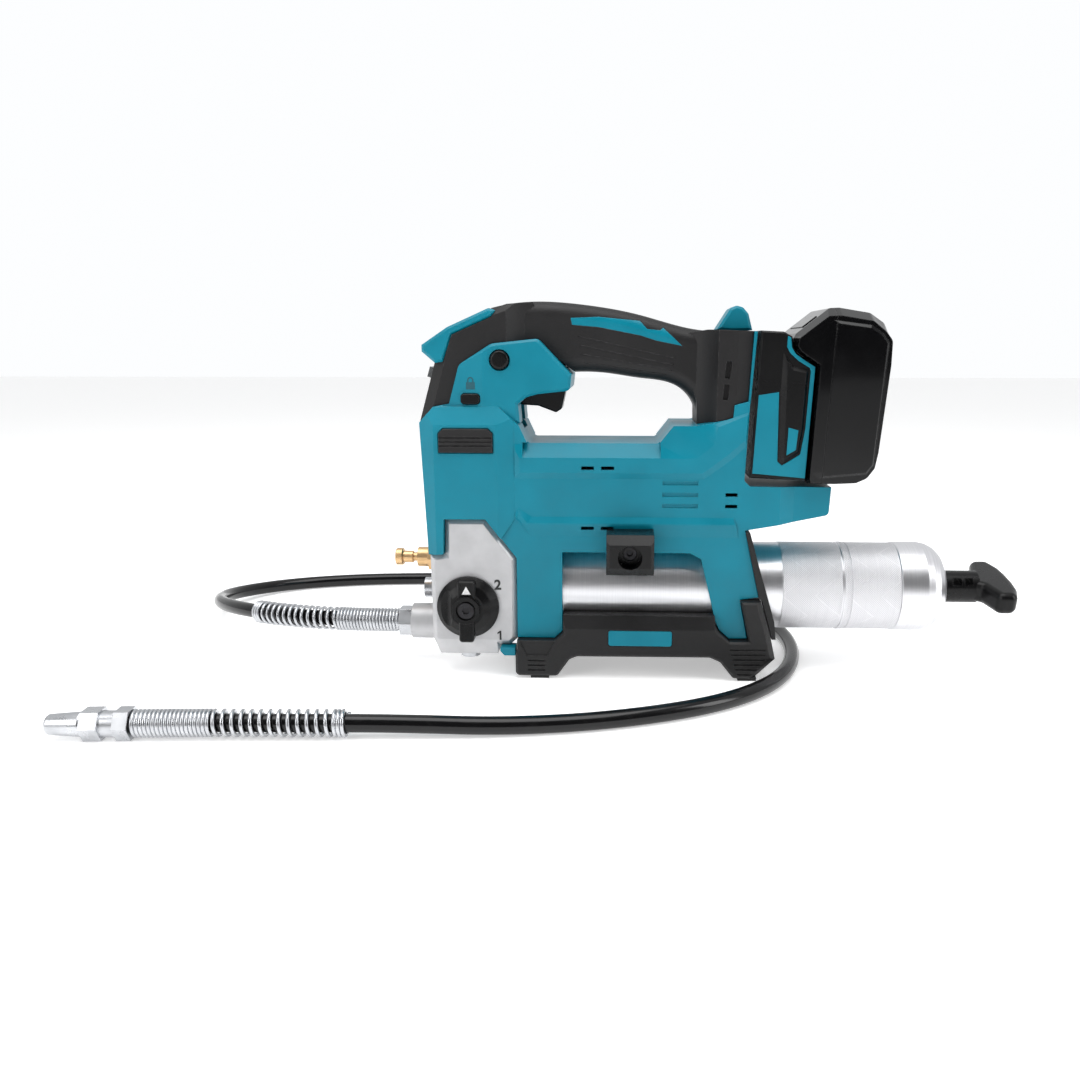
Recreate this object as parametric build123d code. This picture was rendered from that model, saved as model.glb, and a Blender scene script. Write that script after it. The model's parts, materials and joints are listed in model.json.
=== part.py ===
from build123d import *
from math import atan2, degrees, pi, radians, tan
import os

# Cordless grease gun: pump head at the front (-X), battery and cartridge barrel at the back (+X).
# Millimetres, +Z up. The origin is on the floor, midway between the feet, on the mid-plane.
# The near side, with the selector dial and the hose holder, faces -Y.

# ---- driving dimensions -------------------------------------------------------------------
WALL = 2.6                # moulded wall of the housing shells
BODY_HALF = 31.4          # half width of the main housing at its recessed side panels
COLUMN_HALF = 34.0        # half width of the front column
TAIL_HALF = 28.2          # half width of the ledge under the battery
BAND_HALF = 33.2          # half width of the raised bands on the main housing
TRIGGER_HALF = 28.0       # half width of the trigger housing
GRIP_HALF = 17.5          # half width of the handle
FRONT_HALF = 24.0         # half width of the dark front panel
REAR_HALF = 30.4          # half width of the rear grip block
HEAD_HALF = 32.0          # half width of the pump head
BASE_HALF = 38.0          # half width of the base skid

BARREL_Z = 55.3           # height of the cartridge barrel's axis
BARREL_R = 28.5           # outer radius of the 14 oz cartridge barrel
BARREL_BORE = 26.3        # inner radius of the barrel
BARREL_X0 = -80.6         # threaded front end of the barrel
BARREL_X1 = 163.0         # rear end of the barrel, where the cap starts
TUNNEL_R = 29.2           # hole through the housing for the barrel

OUTLET_Z = 27.0           # height of the hose outlet's axis
PUMP_Z = 72.0             # height of the pump bore and the bleeder valve
CRANK_X = -109.0          # axis of the motor and crankshaft
CRANK_THROW = 3.0         # eccentric of the crank pin, half the plunger's stroke
LAY_Y = 14.4              # layshaft distance from the motor's axis
PLUG_X, PLUG_Y = -115.5, -19.0    # closing plug under the head
DIAL_X, DIAL_Z = -114.3, 46.6   # axis of the speed selector
DIAL_R = 20.1

PIVOT_X, PIVOT_Z = -84.6, 184.0   # trigger pin
PIN_HALF = 22.6
LOCK_OFF_X, LOCK_OFF_Z = -110.7, 179.4
LOCK_ON_X, LOCK_ON_Z = -92.0, 203.2

BATTERY_TILT = 2.5        # lean of the battery and its dock, degrees
DOCK_X, DOCK_Z = 64.0, 131.5      # lower front corner of the battery dock
DOCK_HALF = 33.0
BATTERY_HALF = 36.8
BATTERY_WALL_Y = 26.0    # where the sides of the battery start to lean in

HOLDER_X, HOLDER_Z = -10.5, 85.5  # bore of the hose holder block
SOLE = 1.8                # how far the soles of the feet stand below the skid
FOOT_XS = (-68.0, 66.0)   # middles of the front and rear soles
SLOT_DEPTH = 2.4          # depth of the slots in the rear grip
TEE_THICK = 14.6          # thickness of the T-handle's bar
TEE_TURN = 11.0           # resting turn of the T-handle about the rod, degrees
HOLDER_DEPTH = 58.0       # how far the hose holder stands out from the mid-plane
HOSE_R = 5.15

# Free route of the hose, from its front fitting to its coupler.
HOSE_ROUTE = [
    (-166.5, 0.0, 27.0), (-207.0, 0.0, 27.0), (-254.0, 12.0, 26.0), (-299.0, 38.0, 23.0),
    (-333.0, 82.0, 16.0), (-341.0, 133.0, 8.5), (-309.0, 174.0, 5.4), (-254.0, 194.0, 5.2),
    (-192.0, 201.0, 5.2), (-134.0, 201.0, 5.2), (-76.0, 195.0, 5.2), (-20.0, 181.0, 5.2),
    (32.0, 154.0, 5.2), (76.0, 115.0, 5.2), (103.0, 66.0, 5.2), (105.0, 8.0, 5.2),
    (87.0, -46.0, 5.2), (47.0, -87.0, 5.2), (-13.0, -114.0, 5.2), (-77.0, -127.5, 5.3),
    (-140.0, -131.5, 7.9), (-198.0, -135.0, 8.4), (-245.0, -136.6, 8.5), (-283.5, -139.4, 8.5),
]

PIECES = {}


# ---- small helpers ------------------------------------------------------------------------
def outline(*corners):
    """A face in the X-Z plane; a corner's third value, if any, is its rounding radius."""
    face = make_face(Polyline(*[(c[0], c[1]) for c in corners], close=True))
    for corner in corners:
        if len(corner) == 3:
            vertex = face.vertices().sort_by_distance(Vector(corner[0], corner[1]))[0]
            face = fillet(vertex, corner[2])
    return Plane.XZ * face


def slab(face, y_low, y_high):
    """Solid between two Y values with the side profile of the face."""
    return extrude(Pos(0, y_high, 0) * face, amount=y_high - y_low, dir=(0, -1, 0))


def block(x_low, x_high, y_low, y_high, z_low, z_high):
    """Rectangular solid between its limits."""
    centre = ((x_low + x_high) / 2, (y_low + y_high) / 2, (z_low + z_high) / 2)
    return Pos(*centre) * Box(x_high - x_low, y_high - y_low, z_high - z_low)


def rod_x(radius, x_low, x_high, y=0.0, z=0.0):
    """Cylinder along X."""
    return Pos((x_low + x_high) / 2, y, z) * Rot(0, 90, 0) * Cylinder(radius, x_high - x_low)


def rod_y(radius, y_low, y_high, x=0.0, z=0.0):
    """Cylinder along Y."""
    return Pos(x, (y_low + y_high) / 2, z) * Rot(90, 0, 0) * Cylinder(radius, y_high - y_low)


def rod_z(radius, z_low, z_high, x=0.0, y=0.0):
    """Cylinder along Z."""
    return Pos(x, y, (z_low + z_high) / 2) * Cylinder(radius, z_high - z_low)


def hex_x(across_flats, x_low, x_high, y=0.0, z=0.0):
    """Hexagonal bar along X with one flat facing up."""
    face = Plane.YZ * RegularPolygon(across_flats / 2, 6, major_radius=False, rotation=0)
    return Pos(x_low, y, z) * extrude(face, amount=x_high - x_low, dir=(1, 0, 0))


def turned(profile, x=0.0, y=0.0, z=0.0):
    """Turned part about an X axis; the profile lists (distance along X, radius)."""
    points = [(profile[0][0], 0.0), *profile, (profile[-1][0], 0.0)]
    face = make_face(Polyline(*points, close=True))
    return Pos(x, y, z) * revolve(Plane.XY * face, Axis.X)


def near_edges(solid, y):
    """Edges of the solid that lie in the plane at this Y."""
    return solid.edges().filter_by_position(Axis.Y, y - 0.001, y + 0.001)


def raised(foot, crest, y_foot, y_crest):
    """Solid with sloping sides from a foot outline to a smaller crest outline, corner by corner."""
    return loft([Pos(0, y_foot, 0) * foot, Pos(0, y_crest, 0) * crest], ruled=True)


def plan_prism(points, z_low, z_high):
    """Vertical prism over a plan outline in X and Y."""
    face = make_face(Polyline(*points, close=True))
    return extrude(Pos(0, 0, z_low) * face, amount=z_high - z_low, dir=(0, 0, 1))


def section_prism(points, x_low, x_high):
    """Prism along X over a cross section in Y and Z."""
    face = Plane.YZ * make_face(Polyline(*points, close=True))
    return extrude(Pos(x_low, 0, 0) * face, amount=x_high - x_low, dir=(1, 0, 0))


def far_side(solid):
    """The same piece on the other side of the mid-plane."""
    return mirror(solid, Plane.XZ)


def gear(teeth, module, width, bore):
    """Spur gear on Z with straight-flanked teeth, one tooth centred on +Y."""
    tip, root, pitch = module * (teeth + 1.9) / 2, module * (teeth - 2.6) / 2, module * teeth / 2
    half_pitch, half_tip, half_root = 0.17 * pi * module, 0.11 * pi * module, 0.26 * pi * module
    wheel = Cylinder(root + 0.02, width)
    tooth = make_face(Polyline((-half_root, root - 0.2), (-half_pitch, pitch), (-half_tip, tip),
                               (half_tip, tip), (half_pitch, pitch), (half_root, root - 0.2),
                               close=True))
    blade = extrude(Pos(0, 0, -width / 2) * tooth, amount=width, dir=(0, 0, 1))
    for turn in range(teeth):
        wheel += Rot(0, 0, 360 * turn / teeth) * blade
    return wheel - Cylinder(bore, width + 1)


def leaning(shape):
    """Lean a shape drawn upright about the dock's lower front corner."""
    return Pos(DOCK_X, 0, DOCK_Z) * Rot(0, BATTERY_TILT, 0) * shape


# ---- housing ------------------------------------------------------------------------------
def body_outline():
    """Side profile of the main housing: column, middle, rear post, legs and battery ledge."""
    return outline((-143.5, 164.6), (-134.0, 174.2), (-93.5, 175.0), (-80.0, 163.0),
                   (-75.0, 152.0, 3), (6.8, 152.0, 3), (15.8, 163.4, 3), (30.0, 163.4),
                   (52.2, 168.0), (52.8, 176.2), (62.2, 178.6), (60.4, 129.6), (64.0, 126.0),
                   (114.8, 125.4), (114.0, 107.8, 3), (92.0, 103.2), (62.0, 98.0), (72.0, 54.6),
                   (60.2, 53.0), (65.6, 27.2), (54.2, 26.9), (47.6, 32.8), (45.2, 38.0), (35.0, 79.0),
                   (28.0, 83.0), (-53.4, 83.0), (-53.4, 30.8), (-58.4, 26.0), (-82.6, 26.0),
                   (-82.6, 78.8), (-102.0, 104.2), (-128.6, 104.2), (-129.4, 81.4),
                   (-139.6, 80.4))


def column_outline():
    """Side profile of the front column, which stands proud of the main housing."""
    return outline((-143.5, 164.6), (-134.0, 174.2), (-93.5, 175.0), (-83.6, 166.2),
                   (-83.6, 104.0), (-89.0, 96.5), (-92.2, 91.4), (-102.0, 104.2),
                   (-128.6, 104.2), (-129.4, 81.4), (-139.6, 80.4))


def fin_outline():
    """Thin fin of the housing that edges the back of the rear grip."""
    return outline((61.2, 176.0), (63.4, 220.6), (65.2, 220.4), (62.5, 177.0))


def upper_band():
    """Raised band above the recessed side panel, which sweeps up into the rear post."""
    foot = outline((-85.0, 130.4), (35.1, 130.4), (40.0, 133.6), (53.0, 143.5), (61.0, 151.0),
                   (61.9, 172.0), (41.6, 165.0), (30.0, 163.4), (15.8, 163.4), (6.8, 152.0),
                   (-85.0, 152.0))
    crest = outline((-80.0, 134.2), (33.6, 134.2), (37.6, 136.6), (50.2, 146.4), (60.2, 155.4),
                    (60.6, 170.0), (43.0, 162.8), (40.6, 152.0), (31.0, 143.8), (24.0, 143.4),
                    (-80.0, 143.4))
    return raised(foot, crest, -BODY_HALF + 0.01, -BAND_HALF)


def lower_ridge():
    """Raised ridge below the recessed side panel, with a clipped front corner."""
    foot = outline((-83.8, 106.4), (-81.6, 111.6), (-72.6, 105.9), (54.5, 105.9), (57.9, 93.2),
                   (-73.7, 93.2))
    crest = outline((-82.0, 105.8), (-80.6, 108.0), (-75.2, 102.2), (55.6, 102.2), (56.0, 101.0),
                    (-76.0, 101.0))
    return raised(foot, crest, -BODY_HALF + 0.01, -BAND_HALF)


def trigger_outline():
    """Side profile of the teal trigger housing above the column."""
    return outline((-143.5, 164.6), (-134.6, 174.4), (-124.4, 176.4), (-117.6, 200.4, 6),
                   (-97.2, 213.2, 8), (-68.5, 216.2, 4), (-47.6, 194.2), (-48.6, 184.6, 3),
                   (-68.9, 182.4), (-76.0, 180.4), (-81.0, 176.4), (-80.0, 164.6))


def side_slot(x, z, length, height, depth):
    """Cut for one slot in the near side wall, centred on (x, z), by its half length and height."""
    return block(x - length, x + length, -COLUMN_HALF - 3, -BODY_HALF + depth, z - height, z + height)


def vent_slots():
    """Open air slots in one side wall, and the blind louvres between them."""
    cuts = Part()
    for z in (137.2, 98.9):
        for x in (-37.3, -24.8):
            cuts += side_slot(x, z, 4.0, 1.1, WALL + 1)
    for z in (120.6, 113.3):
        cuts += side_slot(52.7, z, 3.8, 1.1, WALL + 1)
    for z in (127.8, 120.5, 113.3):
        cuts += side_slot(20.8, z, 11.1, 1.2, 1.0)
    return cuts


def screw_places():
    """Positions (X, Z) of the screws that join the shells, and the half width of the wall there."""
    return [(-136.5, 160.0, BODY_HALF), (-136.5, 112.0, BODY_HALF), (-78.0, 140.0, BODY_HALF),
            (-40.0, 146.0, 29.6), (52.0, 154.0, BODY_HALF), (52.0, 92.0, BODY_HALF),
            (108.0, 118.0, TAIL_HALF), (-68.0, 90.0, BODY_HALF)]


def shell_bevels():
    """Sloping faces cut from the near shell: column front, top and rear, ledge top, tail."""
    column_front = [(-150.0, -40.0), (-133.6, -40.0), (-133.6, -34.0), (-143.6, -27.0), (-150.0, -27.0)]
    column_top = [(-40.0, 176.0), (-28.0, 176.0), (-28.0, 175.0), (-34.0, 163.6), (-40.0, 163.6)]
    column_rear = [(-93.8, -40.0), (-83.0, -40.0), (-83.0, -31.4), (-93.8, -34.0)]
    ledge_top = [(-40.0, 153.0), (-25.6, 153.0), (-25.6, 152.0), (-33.3, 143.4), (-40.0, 143.4)]
    tail = [(82.9, -40.0), (120.0, -40.0), (120.0, -TAIL_HALF), (92.0, -TAIL_HALF), (82.9, -31.4)]
    return (plan_prism(column_front, 79.0, 176.0) + section_prism(column_top, -150.0, -76.0)
            + plan_prism(column_rear, 90.0, 176.0) + section_prism(ledge_top, -78.0, 8.0)
            + plan_prism(tail, 90.0, 130.0))


def housing_half():
    """Near half of the housing: an open shell with screw bosses, vents and the barrel tunnel."""
    body = slab(body_outline(), -BODY_HALF, 0) + slab(column_outline(), -COLUMN_HALF, 0)
    body += upper_band() + lower_ridge()
    inner = slab(offset(body_outline(), amount=-WALL), -BODY_HALF + WALL, 0.1)
    inner -= Pos(0, WALL, 0) * shell_bevels()
    upper = slab(trigger_outline(), -TRIGGER_HALF, 0)
    upper = chamfer(near_edges(upper, -TRIGGER_HALF), 1.6)
    upper -= plan_prism([(-102.0, -28.1), (-102.0, -32.0), (-128.0, -32.0), (-128.0, -25.4)], 175.0, 216.0)
    inner_up = slab(offset(trigger_outline(), amount=-WALL), -TRIGGER_HALF + WALL + 2.6, 0.1)
    throat = block(-138, -84.5, -24, 0.1, 160, 184)
    shell = body + upper - inner - inner_up - throat - shell_bevels()
    shell += slab(fin_outline(), -REAR_HALF, 0)
    for x, z, wall in screw_places():
        shell += rod_y(3.6, -wall + WALL - 0.5, 0, x, z) & slab(body_outline(), -BODY_HALF, 0)
    shell -= vent_slots()
    shell -= rod_x(TUNNEL_R, -90, 80, 0, BARREL_Z)
    shell -= block(-127, -91, -24, 1, 85, 112)
    for x, z, wall in screw_places():
        shell -= rod_y(1.55, -wall + 8, 1, x, z)
    # pocket for the side pad, trigger slot and button holes
    shell -= slab(offset(pad_outline(), amount=0.6), -COLUMN_HALF - 1, -COLUMN_HALF + 0.8)
    shell -= block(-90, -50.2, -9.6, 1, 160, 190)
    shell -= Pos(LOCK_OFF_X, 0, LOCK_OFF_Z) * Rot(90, 0, 0) * extrude(RectangleRounded(12.4, 7.0, 2.4), 30)
    shell -= block(-79, -51, -9, 1, 197.6, 214)
    shell -= block(36, 56, -12, 1, 160, 170)
    return shell


def housings():
    """Both shells, joined by screws from the far side."""
    near = housing_half()
    far = far_side(near)
    near -= rod_y(2.0, -BODY_HALF - 1, -BODY_HALF + 4, HOLDER_X, HOLDER_Z)
    near -= rod_y(6.5, -TRIGGER_HALF - 1, -TRIGGER_HALF + WALL + 3, LOCK_ON_X, LOCK_ON_Z)
    screws = Part()
    for x, z, wall in screw_places():
        far -= rod_y(3.2, wall - 3.4, COLUMN_HALF + 1, x, z) + rod_y(1.9, 0, wall, x, z)
        screws += rod_y(1.5, -9, wall - 3.4, x, z) + rod_y(2.9, wall - 3.4, wall - 1.2, x, z)
    PIECES["housing_left"] = near
    PIECES["housing_right"] = far
    PIECES["housing_screws"] = screws


# ---- handle, front panel and rear grip ------------------------------------------------------
def handle_outline():
    """Side profile of the handle's loop between the trigger housing and the rear block."""
    top = Spline((-99.0, 235.2), (-75.3, 238.9), (-41.0, 237.1), (-5.2, 230.7), (26.5, 222.4),
                 (46.0, 221.0))
    rear = Polyline((46.0, 221.0), (46.0, 165.8), (30.9, 164.4))
    under = Spline((30.9, 164.4), (29.2, 176.0), (17.0, 187.6), (-4.9, 191.9), (-26.0, 195.0),
                   (-46.0, 195.6))
    front = Polyline((-46.0, 195.6), (-70.0, 214.0), (-99.0, 211.0), (-99.0, 235.2))
    return Plane.XZ * make_face([*top.edges(), *rear.edges(), *under.edges(), *front.edges()])


def stripe_outline():
    """Teal stripe along the handle with a pointed, notched rear end."""
    return outline((-48.5, 228.8), (-30.9, 229.4), (-5.5, 227.0), (-1.0, 222.0), (6.9, 221.2),
                   (8.9, 222.8), (20.8, 211.8), (4.9, 215.0), (-5.4, 218.2), (-30.9, 223.2),
                   (-47.6, 224.6))


def flared_plan(x_handle, x_wide, y_wide, *rest):
    """Plan prism that flares from inside the handle's side to y_wide, then follows the rest."""
    start = (x_handle, -14.5)
    towards = 1 if x_wide > x_handle else -1
    flare = TangentArc(start, (x_wide, -y_wide), tangent=(towards, 0))
    sides = Polyline((x_wide, -y_wide), *rest, (x_handle, 0.0), start)
    return extrude(Pos(0, 0, 150) * make_face([flare, sides]), amount=100, dir=(0, 0, 1))


def grip_half():
    """Near half of the dark grip: front panel, hollow handle and faceted rear block."""
    front = outline((-144.8, 165.2), (-134.4, 201.5), (-128.0, 202.2), (-121.9, 218.6),
                    (-97.0, 229.4), (-94.9, 233.2), (-93.4, 235.4), (-88.0, 237.2), (-72.0, 238.4),
                    (-64.0, 215.6), (-90.0, 168.0))
    panel = slab(front, -FRONT_HALF, 0)
    panel = chamfer(near_edges(panel, -FRONT_HALF).sort_by(Axis.X)[0], 7.0)
    panel = chamfer(near_edges(panel, -FRONT_HALF).sort_by(Axis.Z)[-2:], 4.0)
    panel &= flared_plan(-62.0, -88.0, FRONT_HALF, (-150.0, -FRONT_HALF), (-150.0, 0.0))
    handle = slab(handle_outline(), -GRIP_HALF, 0)
    handle = fillet(near_edges(handle, -GRIP_HALF).filter_by(GeomType.BSPLINE), 9.0)
    rear = outline((31.0, 162.0), (61.4, 162.0), (61.7, 178.9), (63.1, 220.6), (36.0, 221.6, 4),
                   (22.0, 219.4), (19.0, 212.0), (20.0, 197.0), (27.4, 187.4), (30.6, 178.0))
    block_rear = slab(rear, -REAR_HALF, 0)
    block_rear &= flared_plan(18.0, 42.0, REAR_HALF, (54.0, -REAR_HALF), (64.4, -REAR_HALF + 2.0),
                              (64.4, 0.0))
    hollow = outline((-62.0, 212.0), (-60.0, 230.0), (-41.0, 231.0), (-6.0, 224.6), (26.0, 216.0),
                     (58.0, 215.0), (56.0, 168.0), (37.0, 168.0), (35.0, 184.0), (16.0, 194.4),
                     (-26.0, 201.4), (-48.0, 202.0))
    grip = panel + handle + block_rear - slab(hollow, -GRIP_HALF + 4, 0.1)
    grip -= slab(trigger_outline(), -TRIGGER_HALF - 1, 0.1)
    grip -= slab(offset(trigger_outline(), amount=-WALL), -BODY_HALF, 0.1)
    grip -= slab(body_outline(), -COLUMN_HALF - 1, 0.1) + slab(fin_outline(), -COLUMN_HALF, 0.1)
    grip -= block(-79, -51, -9, 1, 197.6, 214)
    for x, z, height in ((48.3, 197.4, 10.5), (47.4, 184.0, 9.7)):
        slot = Pos(x, -REAR_HALF, z) * Rot(0, 5, 0)
        grip -= slot * Box(3.2, 2 * SLOT_DEPTH, height)
    return grip


def grips():
    """Dark grip halves with their teal stripes, and the lamp in the front panel."""
    grip = grip_half()
    stripe_zone = slab(stripe_outline(), -GRIP_HALF - 1, -GRIP_HALF + 3.4)
    lamp = outline((-139.6, 199.2), (-134.4, 197.6), (-136.6, 190.8), (-141.6, 192.4))
    lamp_zone = slab(lamp, -8, 8)
    stripe = grip & stripe_zone
    PIECES["handle_stripes"] = stripe + far_side(stripe)
    grip = grip - stripe_zone - lamp_zone
    PIECES["grip_left"] = grip
    PIECES["grip_right"] = far_side(grip)
    lens = slab(outline((-139.4, 198.9), (-135.4, 197.7), (-137.6, 191.3), (-141.3, 192.5)), -7.7, 7.7)
    PIECES["lamp_lens"] = lens


def bumpers():
    """Teal nose guard over the front of the handle, and the hook behind it."""
    nose = outline((-141.3, 212.4), (-125.0, 223.2, 8), (-98.7, 234.8, 3), (-94.9, 233.2),
                   (-97.0, 229.4), (-121.9, 218.6), (-128.0, 202.2), (-133.2, 201.4), (-141.3, 208.4))
    guard = slab(nose, -FRONT_HALF, FRONT_HALF)
    guard = chamfer(near_edges(guard, FRONT_HALF) + near_edges(guard, -FRONT_HALF), 1.6)
    PIECES["nose_guard"] = guard - PIECES["grip_left"] - PIECES["grip_right"]
    hook = outline((42.6, 221.9), (50.6, 234.6, 3), (54.2, 236.4, 3), (58.4, 235.2, 3),
                   (61.8, 231.4, 3), (64.6, 221.4), (52.0, 221.0))
    horn = slab(hook, -12, 12)
    horn = chamfer(horn.edges().filter_by_position(Axis.Y, 11.9, 12.1) + near_edges(horn, -12), 1.5)
    PIECES["rear_hook"] = horn - PIECES["grip_left"] - PIECES["grip_right"]


def pad_outline():
    """Side profile of the pad on the shoulder of the column."""
    return outline((-130.2, 158.6), (-127.2, 161.4), (-99.4, 161.4), (-96.4, 158.6),
                   (-96.4, 146.6), (-130.2, 146.6))


def side_pads():
    """Rubber pads on the shoulders of the column, grooved across their lower half."""
    pad = slab(pad_outline(), -COLUMN_HALF - 1.4, -COLUMN_HALF + 0.7)
    pad = chamfer(near_edges(pad, -COLUMN_HALF - 1.4), 0.5)
    for groove in range(3):
        z = 150.9 + 2.5 * groove
        pad -= block(-129.6, -97.0, -COLUMN_HALF - 3, -COLUMN_HALF - 0.7, z - 0.45, z + 0.45)
    PIECES["side_pads"] = pad + far_side(pad)


# ---- base -----------------------------------------------------------------------------------
def foot_groove(x_low, x_high, z):
    """Cut for one level groove in the outside of a foot."""
    return block(x_low, x_high, -BASE_HALF - 1, -BASE_HALF + 0.9, z - 0.6, z + 0.6)


def base():
    """Black skid that wraps the legs, its teal insets and the bumper behind the rear leg."""
    shape = outline((-82.6, 25.5), (-82.6, 19.0), (-83.7, 16.0), (-83.7, SOLE, 3), (-56.6, SOLE, 3),
                    (-48.6, 13.2, 4), (-43.7, 15.2, 4), (41.6, 15.6, 4), (48.4, 12.6, 4),
                    (57.0, SOLE, 3), (70.3, SOLE), (83.6, 14.8), (79.7, 31.7),
                    (73.4, 52.6), (60.6, 52.6), (66.3, 26.5), (54.0, 26.3), (47.0, 32.4),
                    (44.6, 37.0), (44.4, 42.6), (-52.8, 42.6), (-52.8, 30.6), (-58.2, 25.6))
    skid = slab(shape, -BASE_HALF, BASE_HALF)
    for y in (-BASE_HALF, BASE_HALF):
        skid = chamfer(near_edges(skid, y).sort_by(Axis.X)[-2:], 3.4)
        skid = chamfer(near_edges(skid, y).sort_by(Axis.X)[:-2], 1.4)
    for x in FOOT_XS:
        skid += block(x - 6.0, x + 6.0, -BASE_HALF + 2, BASE_HALF - 2, 0, SOLE + 0.5)
    bevel = [(-BASE_HALF - 1, 34.0), (-BASE_HALF, 34.0), (-BASE_HALF + 3.2, 42.7), (-BASE_HALF - 1, 42.7)]
    wedge = section_prism(bevel, -52.8, 44.8)
    skid -= wedge + far_side(wedge)
    skid -= rod_x(TUNNEL_R, -90, 90, 0, BARREL_Z)
    inset = outline((-23.6, 23.1, 1.6), (17.2, 23.1, 1.6), (17.2, 33.3, 1.6), (-23.6, 33.3, 1.6))
    badge = slab(offset(inset, amount=-0.15), -BASE_HALF - 0.4, -BASE_HALF + 1.4)
    pocket = slab(inset, -BASE_HALF - 1, -BASE_HALF + 1.4)
    wedge_panel = outline((-81.4, 26.0), (-76.4, 15.7), (-63.0, 15.7), (-57.4, 26.0))
    pocket += slab(wedge_panel, -BASE_HALF - 1, -BASE_HALF + 1.0)
    for groove in range(3):
        z = 6.1 + 3.15 * groove
        pocket += foot_groove(-75.5, -64.3, z)
    for groove in range(6):
        z = 4.8 + 3.3 * groove
        pocket += foot_groove(60.6 - 0.3 * z, min(77.0, 65.5 + z), z)
    skid -= pocket + far_side(pocket)
    PIECES["base_skid"] = skid
    toe = slab(outline((-93.6, 20.2), (-93.6, 17.8), (-91.0, 14.9), (-83.9, 14.9), (-83.9, 20.2)),
               -BASE_HALF + 2, -BASE_HALF + 12)
    PIECES["base_badges"] = badge + toe + far_side(badge + toe)
    strip = outline((62.3, 97.0), (72.1, 54.6), (74.0, 52.9), (80.2, 31.7), (81.4, 27.0),
                    (83.9, 27.0), (82.5, 38.8), (77.5, 55.4), (72.4, 71.8), (67.8, 87.5), (65.0, 97.0))
    bumper = slab(strip, -33, 33) - rod_x(TUNNEL_R, 50, 90, 0, BARREL_Z)
    PIECES["rear_bumper"] = bumper


def hose_holder():
    """Block on the side that parks the grease coupler, with its fixing screw."""
    shape = outline((-25.0, 73.6), (4.2, 73.6), (4.2, 98.8), (-25.0, 98.8))
    holder = slab(shape, -HOLDER_DEPTH, -BODY_HALF)
    holder = chamfer(near_edges(holder, -HOLDER_DEPTH).filter_by(Axis.X), 5.5)
    holder = chamfer(near_edges(holder, -HOLDER_DEPTH).filter_by(Axis.Z), 2.0)
    holder -= rod_y(7.45, -HOLDER_DEPTH - 1, -45.5, HOLDER_X, HOLDER_Z)
    holder -= rod_y(4.4, -46, -41.5, HOLDER_X, HOLDER_Z) + rod_y(2.0, -46, -30, HOLDER_X, HOLDER_Z)
    holder -= lower_ridge()
    PIECES["hose_holder"] = holder
    screw = rod_y(4.2, -45.0, -41.5, HOLDER_X, HOLDER_Z) - rod_y(1.8, -46, -43.0, HOLDER_X, HOLDER_Z)
    screw += rod_y(1.95, -41.5, -29.5, HOLDER_X, HOLDER_Z)
    PIECES["holder_screw"] = screw


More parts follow.
